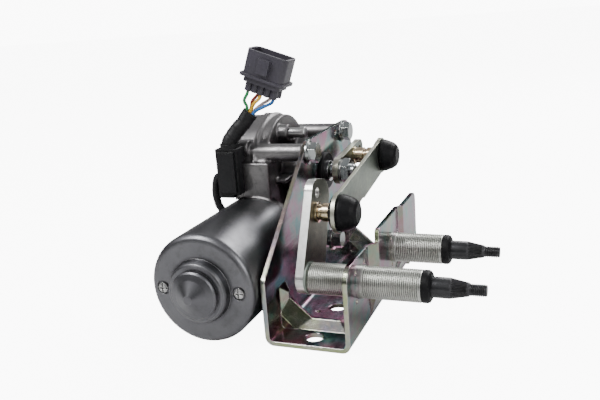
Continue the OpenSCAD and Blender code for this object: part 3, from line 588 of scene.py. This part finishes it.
def tube(path, radius_at, segments, base=0):
    """Verts and faces round a path; radius_at takes the length so far and the angle"""
    verts = []
    length = 0.0
    up = (path[1] - path[0]).normalized().orthogonal().normalized()
    for i, point in enumerate(path):
        tangent = (path[min(i + 1, len(path) - 1)] - path[max(i - 1, 0)]).normalized()
        up = (up - tangent * up.dot(tangent)).normalized()
        side = tangent.cross(up)
        if i:
            length += (point - path[i - 1]).length
        for j in range(segments):
            angle = TAU * j / segments
            spoke = up * math.cos(angle) + side * math.sin(angle)
            verts.append((point + spoke * radius_at(length, angle)) * MM)
    rings = len(path)
    return verts, ring_faces(rings, segments, base) + end_caps(rings, segments, base)


def wrapped(radius, wrap, seed):
    """Tape wound at an angle: each turn overlaps the last with a small step"""
    def radius_at(length, angle):
        turn = (length / wrap + angle / TAU) % 1.0
        lump = noise.noise(Vector((length * 0.16 + seed, math.cos(angle) * 0.7,
                                   math.sin(angle) * 0.7)))
        return radius * (1.0 + 0.07 * (1 - turn) + 0.08 * lump)
    return radius_at


# (x, y, z) along the thick and the thin taped run
THICK_RUN = [(-40, 59.3, 85.5), (-39.9, 59.4, 90.5), (-36.9, 61.1, 95), (-32.6, 62.8, 99.8),
             (-28.0, 64.5, 105.8)]
THIN_RUN = [(-46.6, 60, 70.2), (-50.6, 60.4, 69.2), (-52.8, 61.1, 63.5), (-53.3, 62.1, 55.6),
            (-51.8, 63, 50), (-48.4, 63, 47.4)]


def harness():
    verts, faces = tube(spline(THICK_RUN, 30), wrapped(radius=4.15, wrap=5.6, seed=3.1),
                        segments=48)
    more_verts, more_faces = tube(spline(THIN_RUN, 18), wrapped(radius=2.15, wrap=4.2, seed=9.4),
                                  segments=28, base=len(verts))
    add_piece("harness_taped", verts + more_verts, faces + more_faces, [MATERIALS["tape"]],
              50, "frame", "harness")


WIRE_RADIUS = 0.92
WIRE_PITCH = 3.8
WIRE_TILT = math.radians(20)  # the upper ends lean towards +X
WIRE_ROW = 3.0  # the upper ends alternate this far either side of y = 65


def lead_wires():
    """Five wires that fan out from the thick run into two staggered rows"""
    cos_tilt, sin_tilt = math.cos(WIRE_TILT), math.sin(WIRE_TILT)
    verts, faces, face_materials = [], [], []
    for i in range(5):
        k = i - 2
        row = -1 if i % 2 == 0 else 1
        side = 1.2 * row

        def upper(z):
            """Point of this wire at height z in the tilted frame"""
            x = k * WIRE_PITCH
            return Vector((-15.5 + x * cos_tilt + z * sin_tilt, 65 + WIRE_ROW * row,
                           127.5 - x * sin_tilt + z * cos_tilt))

        root = Vector((-29.4 + k * 0.9, 64.0 + side * 0.8, 103.4 - k * 0.45))
        leave = Vector((-27.0 + k * 1.2, 65.0 + side, 107.4 - k * 0.55))
        bend = (leave * 0.5 + upper(-15.5) * 0.5) + Vector((k * 0.5 - 0.6, 0, 0.5))
        path = spline([root, leave, bend, upper(-14.6), upper(-11.0)], 14)
        new_verts, new_faces = tube(path, lambda length, angle: WIRE_RADIUS, segments=16,
                                    base=len(verts))
        verts += new_verts
        faces += new_faces
        face_materials += [i] * len(new_faces)
    add_piece("lead_wires_bundle", verts, faces, WIRE_MATERIALS, 50, "frame", "lead_wires",
              face_materials)


harness()
lead_wires()


# ---------------------------------------------------------------- stage, light and camera
def pale_floor(half=6, drop=0.0002, glow=9.0):
    """Floor that glows white for the camera only"""
    mesh = bpy.data.meshes.new("floor")
    corners = [(-half, -half, 0), (half, -half, 0), (half, half, 0), (-half, half, 0)]
    mesh.from_pydata(corners, [], [(0, 1, 2, 3)])
    floor = add_object("floor", mesh)
    floor.location.z = -drop
    s = Surface("floor_pale")
    colour = s.mix(s.noise(scale=3, detail=3), (0.66, 0.66, 0.66), (0.69, 0.69, 0.685))
    camera_ray = s.new("ShaderNodeLightPath").outputs["Is Camera Ray"]
    s.set(Base_Color=colour, Roughness=0.6, Emission_Color=(1, 1, 1),
          Emission_Strength=s.calc("MULTIPLY", camera_ray, glow))
    mesh.materials.append(s.material)


# (height of the direction, brightness) of the bands between the ends of the sky:
# the dark ones give the metals their contrast
SKY_BANDS = ((0.10, 0.08), (0.34, 0.12), (0.46, 0.95), (0.72, 0.85), (0.80, 0.30))


def studio_world(strength=0.8, backdrop=10.0):
    """Banded sky for the reflections, plain white for the camera"""
    world = bpy.data.worlds.new("studio")
    world.use_nodes = True
    g = Graph(world.node_tree)
    output = g.new("ShaderNodeOutputWorld")
    place = g.new("ShaderNodeTexCoord").outputs["Generated"]
    height = g.new("ShaderNodeSeparateXYZ", {0: place}).outputs[2]
    bands = [(position, (v, v, v * 1.02)) for position, v in SKY_BANDS]
    colour = g.ramp(height, (0.0, (0.42, 0.42, 0.43)), *bands, (0.95, (0.60, 0.61, 0.63)))
    sky = g.new("ShaderNodeBackground", {0: colour, 1: strength})
    white = g.new("ShaderNodeBackground", {0: (1, 1, 1), 1: backdrop})
    camera_ray = g.new("ShaderNodeLightPath").outputs["Is Camera Ray"]
    mixed = g.new("ShaderNodeMixShader", {0: camera_ray, 1: sky.outputs[0], 2: white.outputs[0]})
    g.put(output.inputs[0], mixed.outputs[0])
    bpy.context.scene.world = world


LIGHT_TARGET = Vector((0.02, 0.06, 0.05))
# name, place from ORIGIN (m), size (m), power (W)
LIGHTS = [
    ("key", (-0.40, -0.35, 0.80), (0.35, 0.35), 9.0),
    ("fill", (0.75, -0.35, 0.45), (0.5, 0.5), 3.5),
    ("back", (0.25, 0.85, 0.70), (0.7, 0.4), 8.0),
]


def area_light(name, place, size, power):
    data = bpy.data.lights.new(name, "AREA")
    data.shape = "RECTANGLE"
    data.size, data.size_y = size
    data.energy = power
    light = add_object(name, data)
    light.location = Vector(place) + ORIGIN
    light.rotation_euler = (LIGHT_TARGET - Vector(place)).to_track_quat("-Z", "Y").to_euler()


def aim_camera(place, turn, down, roll, lens):
    """Look along +Y, turned towards -X and tilted down; angles in degrees, place in mm"""
    turn, down, roll = (math.radians(angle) for angle in (turn, down, roll))
    forward = Vector((math.sin(-turn) * math.cos(down), math.cos(turn) * math.cos(down),
                      -math.sin(down)))
    right = Vector((math.cos(turn), math.sin(turn), 0))
    up = right.cross(forward)
    rolled_right = right * math.cos(roll) + up * math.sin(roll)
    rolled_up = -right * math.sin(roll) + up * math.cos(roll)
    data = bpy.data.cameras.new("camera")
    data.lens = lens
    data.sensor_width = 36
    data.clip_start = 0.01
    camera = add_object("camera", data)
    rotation = Matrix((rolled_right, rolled_up, -forward)).transposed().to_4x4()
    camera.matrix_world = Matrix.Translation(Vector(place) * MM + ORIGIN) @ rotation
    bpy.context.scene.camera = camera


pale_floor()
studio_world()
for light in LIGHTS:
    area_light(*light)
aim_camera(place=(142.2, -283.5, 158.9), turn=22.59, down=15.24, roll=-4.5, lens=42.14)
